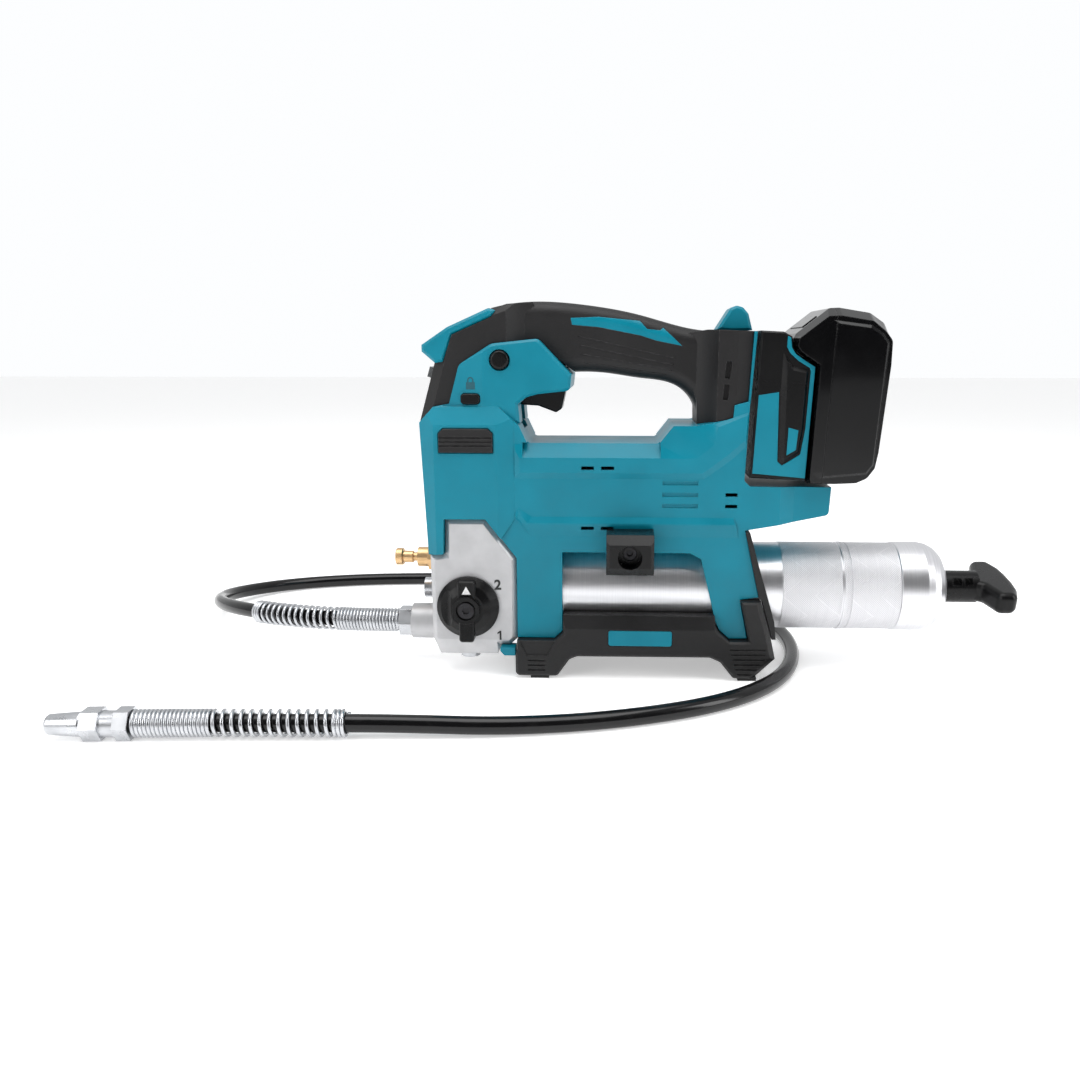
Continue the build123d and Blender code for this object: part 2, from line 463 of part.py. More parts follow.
# ---- pump head ------------------------------------------------------------------------------
def pump_head():
    """Cast head: crank chamber, pump bore, grease passages, threaded spigot for the barrel."""
    shape = outline((-128.3, 103.8), (-102.2, 103.8), (-83.0, 78.4), (-83.0, 24.8), (-87.5, 20.4),
                    (-94.3, 20.4), (-96.0, 13.6), (-133.6, 13.6), (-138.3, 24.4), (-138.6, 79.9),
                    (-128.9, 80.9))
    head = slab(shape, -HEAD_HALF, HEAD_HALF)
    head = chamfer(near_edges(head, -HEAD_HALF) + near_edges(head, HEAD_HALF), 3.0)
    lower = section_prism([(-33.0, 24.2), (-32.0, 24.2), (-28.0, 12.0), (-33.0, 12.0)], -145, -80)
    head -= lower + far_side(lower)
    head += rod_x(12.0, -157.5, -137, 0, OUTLET_Z)
    head += rod_x(25.9, -84, -71, 0, BARREL_Z)
    head -= block(-126, -92, -14, 14, 62, 105)
    head -= rod_x(4.05, -134.5, -125, 0, PUMP_Z)
    head -= rod_x(5.0, -140, -134.0, 0, PUMP_Z)
    head -= rod_z(2.5, OUTLET_Z, PUMP_Z, -131.5)
    head -= rod_x(5.0, -160, -131, 0, OUTLET_Z)
    head -= rod_x(4.0, -131, -70, 0, 40.0) + rod_x(20.0, -74, -70, 0, BARREL_Z)
    head -= rod_y(6.05, -HEAD_HALF - 1, -16, DIAL_X, DIAL_Z)
    plug_spot = Pos(PLUG_X, PLUG_Y, 0)
    head -= plug_spot * rod_z(6.5, 13, 18.5, 0)
    PIECES["pump_head"] = head
    PIECES["head_plug"] = plug_spot * (rod_z(6.4, 9.8, 18.5, 0) - rod_z(2.6, 9, 13, 0))
    fitting = hex_x(18.0, -166.5, -157.5, 0, OUTLET_Z) + rod_x(4.9, -157.5, -141, 0, OUTLET_Z)
    PIECES["outlet_fitting"] = fitting - rod_x(2.5, -167, -140, 0, OUTLET_Z)
    seat = rod_x(4.9, -140.5, -137.5, 0, OUTLET_Z) - rod_x(2.0, -141, -137, 0, OUTLET_Z)
    PIECES["check_valve"] = seat + Pos(-134.4, 0, OUTLET_Z) * Sphere(2.8)
    relief = rod_x(7.0, -151.5, -138.6, 14, 47.0)
    PIECES["relief_valve"] = relief - hex_x(5.0, -152, -148, 14, 47.0)
    body = rod_x(4.9, -138.9, -134.4, 0, PUMP_Z) + hex_x(15.6, -145.2, -138.7, 0, PUMP_Z)
    body += rod_x(6.6, -152.6, -145.2, 0, PUMP_Z)
    body -= rod_x(3.0, -153, -134, 0, PUMP_Z)
    PIECES["bleeder_body"] = body
    stem = turned([(-167.8, 5.2), (-167.2, 5.8), (-163.4, 5.8), (-162.8, 5.2), (-162.6, 4.0),
                   (-156.2, 4.0), (-156.0, 2.95), (-140.0, 2.95)], 0, 0, PUMP_Z)
    PIECES["bleeder_stem"] = stem
    PIECES["barrel_gasket"] = rod_x(28.3, -82.8, -80.8, 0, BARREL_Z) - rod_x(26.3, -90, -70, 0, BARREL_Z)


def selector():
    """Speed selector: domed dial with a grip bar, its shaft and its centre screw."""
    y_face = -HEAD_HALF - 0.3
    dial = turned([(0, DIAL_R), (2.2, DIAL_R), (5.6, 15.6), (7.8, 11.0)])
    dial = Pos(DIAL_X, y_face, DIAL_Z) * Rot(0, 0, -90) * dial
    upper = outline((-5.7, 0.0), (-5.7, 18.6, 2), (5.7, 18.6, 2), (5.7, 0.0))
    lower = outline((-4.8, 0.0), (-4.8, -21.2, 2), (4.8, -21.2, 2), (4.8, 0.0))
    for tab, height in ((upper, 8.6), (lower, 10.4)):
        bar = Pos(DIAL_X, 0, DIAL_Z) * slab(tab, y_face - height, y_face - 0.8)
        dial += chamfer(near_edges(bar, y_face - height), 0.8)
    dial += rod_y(8.8, y_face - 11.0, y_face - 0.8, DIAL_X, DIAL_Z)
    dial -= Pos(DIAL_X - 14.8, y_face - 10.0, DIAL_Z) * Cylinder(6.0, 24.0)
    pointer = outline((-3.9, 8.2), (3.9, 8.2), (3.9, 16.6), (-3.9, 16.6))
    dial -= Pos(DIAL_X, 0, DIAL_Z) * slab(pointer, y_face - 9, y_face - 7.9)
    dial -= rod_y(6.4, y_face - 12, y_face - 8.8, DIAL_X, DIAL_Z)
    dial -= rod_y(2.1, y_face - 20, y_face + 1, DIAL_X, DIAL_Z)
    shaft = rod_y(6.0, y_face, -17, DIAL_X, DIAL_Z) - rod_y(1.9, y_face - 1, -24, DIAL_X, DIAL_Z)
    PIECES["selector_dial"] = dial + shaft
    screw = rod_y(5.2, y_face - 10.8, y_face - 8.8, DIAL_X, DIAL_Z)
    screw += rod_y(1.85, y_face - 8.8, -25, DIAL_X, DIAL_Z)
    hexagon = Plane.XZ * RegularPolygon(2.5, 6)
    screw -= Pos(DIAL_X, y_face - 9.3, DIAL_Z) * extrude(hexagon, amount=3, dir=(0, -1, 0))
    PIECES["selector_screw"] = screw


# ---- drive ----------------------------------------------------------------------------------
def drive():
    """Motor, two-stage gear train, crankshaft, yoke and plunger."""
    can = rod_z(20.5, 124, 172, CRANK_X) - rod_z(18.3, 126, 171, CRANK_X)
    can += rod_z(18.4, 132, 160, CRANK_X) - rod_z(11.6, 130, 162, CRANK_X)
    PIECES["motor_can"] = can - rod_z(6.5, 120, 127, CRANK_X) - rod_z(4.0, 168, 175, CRANK_X)
    rotor = rod_z(11.0, 131, 161, CRANK_X)
    for slot in range(6):
        rotor -= Pos(CRANK_X, 0, 146) * Rot(0, 0, 60 * slot) * Pos(10.5, 0, 0) * Box(4, 1.6, 32)
    rotor += rod_z(2.5, 113.8, 169, CRANK_X)
    rotor += Pos(CRANK_X, 0, 117) * gear(12, 0.8, 6, 1.0)
    PIECES["motor_rotor"] = rotor
    blades = rod_z(5.0, 163, 166, CRANK_X)
    for blade in range(9):
        blades += Pos(CRANK_X, 0, 164.5) * Rot(0, 0, 40 * blade) * Pos(9.5, 0, 0) * Box(12, 1.0, 3)
    PIECES["motor_fan"] = blades - rod_z(2.5, 160, 170, CRANK_X)
    bearings = rod_z(6.4, 124, 127, CRANK_X) - rod_z(2.55, 120, 130, CRANK_X)
    bearings += rod_z(9.0, 98.5, 103.8, CRANK_X) - rod_z(4.05, 95, 105, CRANK_X)
    PIECES["bearings"] = bearings
    plate = block(-132, -90, -27, 27, 121, 123.6) - rod_z(7.0, 120, 125, CRANK_X)
    plate -= rod_z(2.05, 119, 124, CRANK_X, LAY_Y)
    cover = block(-126.6, -91.4, -21, 21, 104.0, 105.8) - rod_z(4.4, 100, 107, CRANK_X)
    cover += rod_z(12.0, 98.5, 104.2, CRANK_X) - rod_z(9.0, 90, 103.8, CRANK_X)
    cover -= rod_z(4.4, 90, 107, CRANK_X) + rod_z(2.05, 100, 107, CRANK_X, LAY_Y)
    PIECES["gear_plates"] = plate + cover
    wheel = Pos(CRANK_X, LAY_Y, 117) * Rot(0, 0, 180 / 24) * gear(24, 0.8, 6, 2.0)
    wheel += Pos(CRANK_X, LAY_Y, 110.3) * gear(12, 0.8, 7.4, 2.0)
    PIECES["lay_gear"] = wheel
    PIECES["lay_shaft"] = rod_z(2.0, 104.1, 123.5, CRANK_X, LAY_Y)
    # crankshaft with its eccentric pin, resting in the rear position
    crank = rod_z(4.0, 83.9, 113, CRANK_X) + rod_z(10.0, 80, 84, CRANK_X)
    crank += rod_z(3.0, 67, 80, CRANK_X + CRANK_THROW)
    crank += Pos(CRANK_X, 0, 109.6) * Rot(0, 0, 7.5) * gear(24, 0.8, 6, 1.0)
    PIECES["crankshaft"] = crank
    yoke = block(-118.6, -93.4, -9.4, 9.4, 68, 76) - block(-115.6, -96.4, -6.4, 6.4, 60, 80)
    PIECES["plunger"] = yoke + rod_x(4.0, -127.5, -118.0, 0, PUMP_Z)


# ---- trigger and switches -------------------------------------------------------------------
def controls():
    """Trigger with its pin and spring, the switch, and the two lock buttons."""
    blade = outline((-81.6, 177.4), (-80.6, 174.8), (-69.9, 174.2, 4), (-58.4, 169.9, 1.5),
                    (-54.8, 172.2, 1.5), (-51.2, 188.4), (-56.0, 191.6), (-80.0, 189.6),
                    (-88.2, 187.4, 2), (-88.2, 181.0, 2))
    trigger = slab(blade, -9.0, 9.0)
    trigger = chamfer(near_edges(trigger, -9.0) + near_edges(trigger, 9.0), 1.0)
    PIECES["trigger"] = trigger - rod_y(1.55, -10, 10, PIVOT_X, PIVOT_Z)
    PIECES["trigger_pin"] = rod_y(1.5, -PIN_HALF, PIN_HALF, PIVOT_X, PIVOT_Z)
    switch = block(-78.0, -52.0, -8.0, 8.0, 198.6, 213.0)
    PIECES["switch_body"] = switch
    coil = rod_z(2.4, 191.9, 198.4, -66.0) - rod_z(1.6, 190, 200, -66.0)
    PIECES["trigger_spring"] = coil
    push_bar = Pos(LOCK_OFF_X, TRIGGER_HALF + 0.8, LOCK_OFF_Z) * Rot(90, 0, 0)
    push_bar *= extrude(RectangleRounded(11.8, 6.4, 2.1), 2 * TRIGGER_HALF + 1.8)
    PIECES["lock_off_button"] = chamfer(near_edges(push_bar, -TRIGGER_HALF - 1.0), 0.5)
    button = rod_y(5.9, -TRIGGER_HALF - 2.2, -TRIGGER_HALF + 4.4, LOCK_ON_X, LOCK_ON_Z)
    button = fillet(near_edges(button, -TRIGGER_HALF - 2.2), 1.8)
    PIECES["lock_on_button"] = button


# ---- battery and dock -----------------------------------------------------------------------
def dock():
    """Battery dock on the rear post: dark carrier with rails, teal trims and contacts."""
    shape = outline((-1.0, 89.4), (12.6, 89.3), (17.9, 86.7), (18.9, 80.5), (21.3, 77.1),
                    (27.6, 73.2), (33.4, 69.9), (33.4, 0.0), (-0.6, 0.0))
    carrier = slab(shape, -DOCK_HALF, DOCK_HALF)
    carrier = chamfer(near_edges(carrier, -DOCK_HALF) + near_edges(carrier, DOCK_HALF), 1.0)
    lever_foot = outline((13.4, 77.4), (19.2, 69.4), (29.3, 67.6), (29.4, 32.4), (28.0, 17.0),
                         (18.2, 10.0), (16.2, 11.4), (13.5, 53.5))
    lever_crest = outline((15.8, 72.0), (20.2, 66.6), (27.6, 65.4), (27.8, 33.0), (26.6, 18.4),
                          (19.4, 13.2), (18.8, 14.0), (17.0, 53.5))
    lever = raised(lever_foot, lever_crest, -DOCK_HALF + 0.01, -DOCK_HALF - 1.8)
    carrier += lever + far_side(lever)
    carrier -= block(8, 34, -17, 17, 5, 45)
    for side in (-1, 1):
        carrier += block(33.2, 38.0, side * 25.5 - 1.6, side * 25.5 + 1.6, 6, 62)
    panel = outline((0.6, 3.0), (0.6, 51.0), (12.6, 53.4), (15.2, 11.2), (18.2, 8.8), (28.8, 16.2),
                    (30.5, 32.0), (30.5, 66.8), (29.8, 68.6), (22.7, 72.4), (17.2, 76.9),
                    (15.1, 80.3), (15.0, 86.9), (17.0, 86.0), (18.0, 80.2), (20.6, 76.5),
                    (27.0, 72.5), (32.9, 69.3), (33.0, 1.6))
    window = outline((20.0, 32.4), (26.0, 31.0), (25.6, 19.0), (20.2, 15.4))
    trim = slab(panel, -DOCK_HALF - 0.5, -DOCK_HALF + 1.4)
    trim += slab(window, -DOCK_HALF - 2.1, -DOCK_HALF - 0.8)
    carrier -= trim + far_side(trim)
    PIECES["battery_dock"] = leaning(carrier)
    PIECES["dock_trims"] = leaning(trim + far_side(trim))
    contacts = Part()
    for y in (-12, -4, 4, 12):
        contacts += block(8.0, 41.0, y - 0.5, y + 0.5, 18, 30)
    PIECES["dock_contacts"] = leaning(contacts)


def battery_outline(inset):
    """Side profile of the battery pack, drawn upright; its top, slope and back can be inset."""
    top, back, foot = 5.0 * inset, 1.2 * inset, 1.8 * inset
    return outline((19.8 + foot, 86.0), (21.0 + foot, 88.6 - foot), (39.4 - foot, 104.4 - top, 3),
                   (45.2, 104.9 - top, 4), (64.0, 102.6 - top, 4), (73.0 - back, 97.0 - top, 5),
                   (77.6 - back, 88.6 - foot, 5), (78.2 - back, 72.0), (76.4 - back, 20.0),
                   (75.2 - back, 9.0 + back, 5), (71.0 - back, 2.0 + foot, 5), (63.5, -1.2 + foot, 4),
                   (50.0, -2.4 + foot), (36.0, -2.4 + foot), (34.2 + back, 0.0 + foot),
                   (34.2 + back, 70.6), (28.0 + back, 74.2), (21.9 + back, 78.1), (19.7 + back, 81.2))


def battery_panel():
    """Raised side panel of the battery with a wide front bevel and rounded corners."""
    foot = outline((36.0, 92.8), (40.4, 97.2), (63.2, 95.2), (70.2, 91.0), (74.6, 85.6),
                   (73.2, 12.0), (69.4, 6.2), (41.0, 2.2), (36.2, 5.6))
    crest = outline((42.9, 91.8), (44.0, 95.2), (62.6, 93.4), (69.0, 89.8), (73.2, 85.0),
                    (72.0, 12.4), (68.6, 7.6), (43.6, 4.0), (42.9, 6.6))
    return raised(foot, crest, -BATTERY_HALF + 0.01, -BATTERY_HALF - 1.2)


def battery():
    """Slide-on pack: case and cover shells, ten cells, contacts, gauge and release button."""
    side = raised(battery_outline(0.0), battery_outline(1.0), -BATTERY_WALL_Y, -BATTERY_HALF)
    side += battery_panel()
    whole = slab(battery_outline(0.0), -BATTERY_WALL_Y, BATTERY_WALL_Y)
    whole += side + far_side(side)
    cavity = outline((44.0, 98.0), (60.0, 96.0), (72.0, 88.0), (73.0, 72.0), (71.5, 20.0),
                     (68.0, 6.0), (60.0, 3.0), (44.0, 3.0))
    hollow = slab(cavity, -BATTERY_HALF + 2.6, BATTERY_HALF - 2.6)
    hollow += block(37.0, 45.0, -20, 20, 48, 64)
    for side in (-1, 1):
        hollow += block(33, 38.6, side * 25.5 - 2.1, side * 25.5 + 2.1, -5, 64)
    hollow += block(33, 42.4, -16, 16, -5, 44)
    cover_zone = block(0, 42.6, -50, 50, -20, 120)
    button_zone = leaning_button_zone()
    cover = (whole & cover_zone) - hollow - button_zone
    case = whole - block(0, 42.7, -50, 50, -20, 120) - hollow
    PIECES["battery_cover"] = leaning(cover)
    PIECES["battery_case"] = leaning(case)
    cells = Part()
    for row in range(5):
        for side in (-1, 1):
            cells += rod_y(9.0, side * 17.2 - 16.4, side * 17.2 + 16.4, 57.5, 12.6 + 18.2 * row)
    PIECES["battery_cells"] = leaning(cells)
    PIECES["battery_button"] = leaning(button_piece())


BUTTON_SPOT = Pos(29.6, 0, 96.0) * Rot(0, -40.7, 0)   # middle of the slope, turned to lie along it


def leaning_button_zone():
    """Pocket for the release button in the slope above the dock."""
    return BUTTON_SPOT * Box(11.0, 40.6, 10.8)


def button_piece():
    """Release button, a bar nearly flush with the slope."""
    return BUTTON_SPOT * Pos(0, 0, -1.3) * Box(10.4, 40.0, 3.6)


# ---- barrel, follower and T-handle ----------------------------------------------------------
def knurl(x_low, x_high, radius):
    """Raised knurled band on the barrel."""
    return rod_x(radius, x_low, x_high, 0, BARREL_Z) - rod_x(BARREL_R - 0.2, -90, 170, 0, BARREL_Z)


def barrel():
    """Threaded cartridge barrel with its grip bands and end cap."""
    tube = rod_x(BARREL_R, BARREL_X0, BARREL_X1, 0, BARREL_Z)
    tube += knurl(88.0, 124.6, BARREL_R + 0.3) + knurl(127.0, 130.0, BARREL_R + 0.7)
    tube += knurl(132.2, BARREL_X1, BARREL_R + 0.3)
    tube -= rod_x(BARREL_BORE, BARREL_X0 - 1, BARREL_X1 + 1, 0, BARREL_Z)
    PIECES["barrel_tube"] = tube
    cap = turned([(163.0, 28.6), (163.6, 29.4), (180.0, 29.4), (184.5, 28.5), (188.8, 26.2),
                  (192.4, 22.6), (195.0, 17.8), (196.6, 12.6), (197.4, 8.0)],
                 0, 0, BARREL_Z)
    cap += rod_x(BARREL_BORE, 157.0, 163.2, 0, BARREL_Z)
    cap -= rod_x(24.0, 156, 182, 0, BARREL_Z) + rod_x(4.35, 170, 220, 0, BARREL_Z)
    PIECES["end_cap"] = cap
    piston = turned([(-46.0, 20.0), (-42.0, 25.2), (-34.0, 25.2)], 0, 0, BARREL_Z)
    PIECES["follower_piston"] = piston - rod_x(4.0, -47, -30, 0, BARREL_Z)
    seal = turned([(-34.0, 25.9), (-28.0, 25.9)], 0, 0, BARREL_Z)
    PIECES["follower_seal"] = seal - rod_x(4.0, -47, -20, 0, BARREL_Z)
    PIECES["follower_rod"] = rod_x(4.0, -44.0, 226.0, 0, BARREL_Z)
    spring = rod_x(22.0, -27.6, 162.0, 0, BARREL_Z) - rod_x(20.0, -30, 170, 0, BARREL_Z)
    PIECES["follower_spring"] = spring


def tee_handle():
    """T-handle on the follower rod: slotted neck and a bowed bar, turned a little on the rod."""
    bow = [(215.0, 9.2, 0), (219.6, 11.8, 3), (222.6, 21.0, 4), (225.0, 28.0, 5.2),
           (236.0, 28.0, 5.2), (240.2, 16.0, 8), (241.2, 6.0, 8)]
    plan = [*bow, *[(x, -y, r) for x, y, r in reversed(bow)]]
    face = make_face(Polyline(*[(x, y) for x, y, r in plan], close=True))
    for x, y, r in plan:
        if r > 0:
            face = fillet(face.vertices().sort_by_distance(Vector(x, y))[0], r)
    bar = extrude(face, amount=TEE_THICK / 2, both=True)
    ends = bar.faces().filter_by(Axis.Z).edges()
    bar = fillet(ends, 4.6)
    neck = rod_x(10.6, 197.9, 219.0)
    for x_low, x_high in ((201.6, 207.4), (209.4, 214.6)):
        # slot through the upper half, and a shallow notch below
        neck -= block(x_low, x_high, -12, 12, 4.8, 8.6)
        neck -= block(x_high - 2.0, x_high + 1.4, -12, 12, -12, -9.8)
    tee = Pos(0, 0, BARREL_Z) * Rot(TEE_TURN, 0, 0) * (bar + neck)
    PIECES["tee_handle"] = tee - rod_x(4.06, 196, 226.2, 0, BARREL_Z)


# ---- hose -----------------------------------------------------------------------------------
def corner_radii(points):
    """As large a tangent arc at each inner point as its two runs allow."""
    radii = []
    for before, here, after in zip(points, points[1:], points[2:]):
        run_in = Vector(here) - Vector(before)
        run_out = Vector(after) - Vector(here)
        shorter = min(run_in.length, run_out.length)
        radii.append(0.45 * shorter / tan(radians(run_in.get_angle(run_out)) / 2))
    return radii


def along_route(points, radii, outer, inner):
    """Tube along the route; an inner radius of zero makes it solid."""
    path = FilletPolyline(*points, radius=radii)
    start = Plane(origin=path @ 0, z_dir=path % 0)
    tube = sweep(start * Circle(outer), path=path)
    if inner > 0:
        tube -= sweep(start * Circle(inner), path=path)
    return tube, path.length


def midpoint(a, b, share):
    """Point between two points of the route."""
    return tuple(p + (q - p) * share for p, q in zip(a, b))


def hose():
    """Hose, its two spring guards and the grease coupler."""
    radii = corner_radii(HOSE_ROUTE)
    print("hose radii", [round(radius) for radius in radii])
    tube, length = along_route(HOSE_ROUTE, radii, HOSE_R, 0)
    print("hose length", round(length, 1), "volume ratio", tube.volume / (pi * HOSE_R**2 * length))
    PIECES["hose_tube"] = tube
    front = [*HOSE_ROUTE[:3], midpoint(HOSE_ROUTE[2], HOSE_ROUTE[3], 0.5)]
    PIECES["hose_guard_front"] = along_route(front, radii[:2], 8.2, 5.7)[0]
    rear = [midpoint(HOSE_ROUTE[-4], HOSE_ROUTE[-3], 0.42), *HOSE_ROUTE[-3:]]
    PIECES["hose_guard_rear"] = along_route(rear, radii[-2:], 7.9, 5.7)[0]


def coupler():
    """Grease coupler on the hose's end: hex ferrule, body, hex collar and locking sleeve."""
    end = HOSE_ROUTE[-1]
    before = HOSE_ROUTE[-2]
    turn = degrees(atan2(before[1] - end[1], before[0] - end[0]))
    place = Pos(end[0], end[1], end[2]) * Rot(0, 0, turn)
    ferrule = hex_x(16.6, -8.0, 0.0)
    body = rod_x(7.4, -16.0, -8.0) + hex_x(16.6, -26.0, -16.0) + rod_x(4.4, -43.0, -26.0)
    body -= rod_x(2.0, -50, -6) + rod_x(3.3, -44.0, -36.0)
    sleeve = turned([(-46.0, 5.2), (-45.0, 5.8), (-27.6, 7.0), (-26.4, 6.6)])
    sleeve -= rod_x(4.47, -50, -20)
    PIECES["coupler_ferrule"] = place * ferrule
    PIECES["coupler_body"] = place * body
    PIECES["coupler_sleeve"] = place * sleeve


def main():
    """Build every piece and write one STEP file for each."""
    housings()
    grips()
    bumpers()
    side_pads()
    base()
    hose_holder()
    pump_head()
    selector()
    drive()
    controls()
    dock()
    battery()
    barrel()
    tee_handle()
    hose()
    coupler()
    os.makedirs("parts", exist_ok=True)
    for name, shape in PIECES.items():
        export_step(shape, f"parts/{name}.step")
    print(len(PIECES), "pieces")


main()
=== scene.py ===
"""Look of the cordless grease gun: finishes, hose, guards, springs, marks, light and camera."""
import json
import math

import bmesh
import bpy
import numpy as np
from mathutils import Matrix, Vector
from mathutils.bvhtree import BVHTree

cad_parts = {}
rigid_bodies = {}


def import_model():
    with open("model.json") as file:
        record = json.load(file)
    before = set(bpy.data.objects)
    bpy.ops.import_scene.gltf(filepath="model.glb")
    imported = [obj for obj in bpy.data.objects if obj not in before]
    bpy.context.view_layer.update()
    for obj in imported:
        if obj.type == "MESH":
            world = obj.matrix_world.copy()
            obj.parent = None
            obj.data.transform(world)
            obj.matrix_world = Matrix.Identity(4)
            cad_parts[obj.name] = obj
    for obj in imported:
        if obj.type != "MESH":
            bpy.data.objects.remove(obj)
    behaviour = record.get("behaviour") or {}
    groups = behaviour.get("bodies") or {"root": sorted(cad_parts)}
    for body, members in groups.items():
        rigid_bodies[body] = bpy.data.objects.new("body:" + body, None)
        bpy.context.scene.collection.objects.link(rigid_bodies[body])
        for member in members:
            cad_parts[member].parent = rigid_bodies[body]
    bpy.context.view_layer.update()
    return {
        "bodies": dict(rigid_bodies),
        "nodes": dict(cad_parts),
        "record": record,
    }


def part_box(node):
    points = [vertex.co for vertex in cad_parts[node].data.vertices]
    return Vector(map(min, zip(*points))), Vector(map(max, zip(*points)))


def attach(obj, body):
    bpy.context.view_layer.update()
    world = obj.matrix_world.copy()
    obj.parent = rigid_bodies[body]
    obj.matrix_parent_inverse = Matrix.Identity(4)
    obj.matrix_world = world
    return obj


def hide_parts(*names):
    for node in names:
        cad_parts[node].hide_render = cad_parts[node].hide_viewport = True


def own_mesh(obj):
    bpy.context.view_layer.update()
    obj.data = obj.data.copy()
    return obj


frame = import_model()
NODES = frame["nodes"]
MM = 0.001

BARREL_Z = 0.0553                            # height of the barrel's axis
KNURL_R = 0.0288                             # radius of the knurled bands
KNURL_BANDS = ((0.0880, 0.1264), (0.1272, 0.1630))   # where they start and end along X
KNURL_PITCH = 0.0014
KNURL_FADE = 0.0006                          # length over which a band's knurl starts and stops
ARROWS_ROUND = 6                             # arrow points round the barrel
ARROW_SPACING = 0.021                        # between the arrow lines, along the barrel
ARROW_SLOPE = 1.15
DIAL = (-0.1143, 0.0466)                     # axis of the speed selector, X and Z
DIAL_FACE_Y = -0.0402                        # where the floor of its pointer pocket lies
MARK_THICK = 0.00012                         # how far a printed mark stands out
NUMBER_THICK = 0.00018
PRESSED = 0.00012                            # how far a grip rib's axis lies under the surface
RIB_R = 0.00042

HOSE_R = 0.00515
GUARD_WIRE_R = 0.00112                       # wire of the two spring guards
CLOSE_PITCH = 2.02 * GUARD_WIRE_R            # pitch where the coils touch
CLOSE_TURNS, OPEN_TURNS, END_TURNS = 19, 13, 3
OUTLET_GUARD = (0.0082, 0.1145)              # outer radius and length of the guard at the outlet
COUPLER_GUARD = (0.0079, 0.1185)             # and of the one at the coupler
FOLLOWER_WIRE_R, FOLLOWER_TURNS = 0.0008, 22
TRIGGER_WIRE_R, TRIGGER_TURNS = 0.0003, 6
# The hose's route, as in the CAD source, in metres.
HOSE_ROUTE = [
    (-0.1665, 0.0, 0.027), (-0.207, 0.0, 0.027), (-0.254, 0.012, 0.026), (-0.299, 0.038, 0.023),
    (-0.333, 0.082, 0.016), (-0.341, 0.133, 0.0085), (-0.309, 0.174, 0.0054),
    (-0.254, 0.194, 0.0052), (-0.192, 0.201, 0.0052), (-0.134, 0.201, 0.0052),
    (-0.076, 0.195, 0.0052), (-0.020, 0.181, 0.0052), (0.032, 0.154, 0.0052),
    (0.076, 0.115, 0.0052), (0.103, 0.066, 0.0052), (0.105, 0.008, 0.0052),
    (0.087, -0.046, 0.0052), (0.047, -0.087, 0.0052), (-0.013, -0.114, 0.0052),
    (-0.077, -0.1275, 0.0053), (-0.140, -0.1315, 0.0079), (-0.198, -0.135, 0.0084),
    (-0.245, -0.1366, 0.0085), (-0.2835, -0.1394, 0.0085),
]


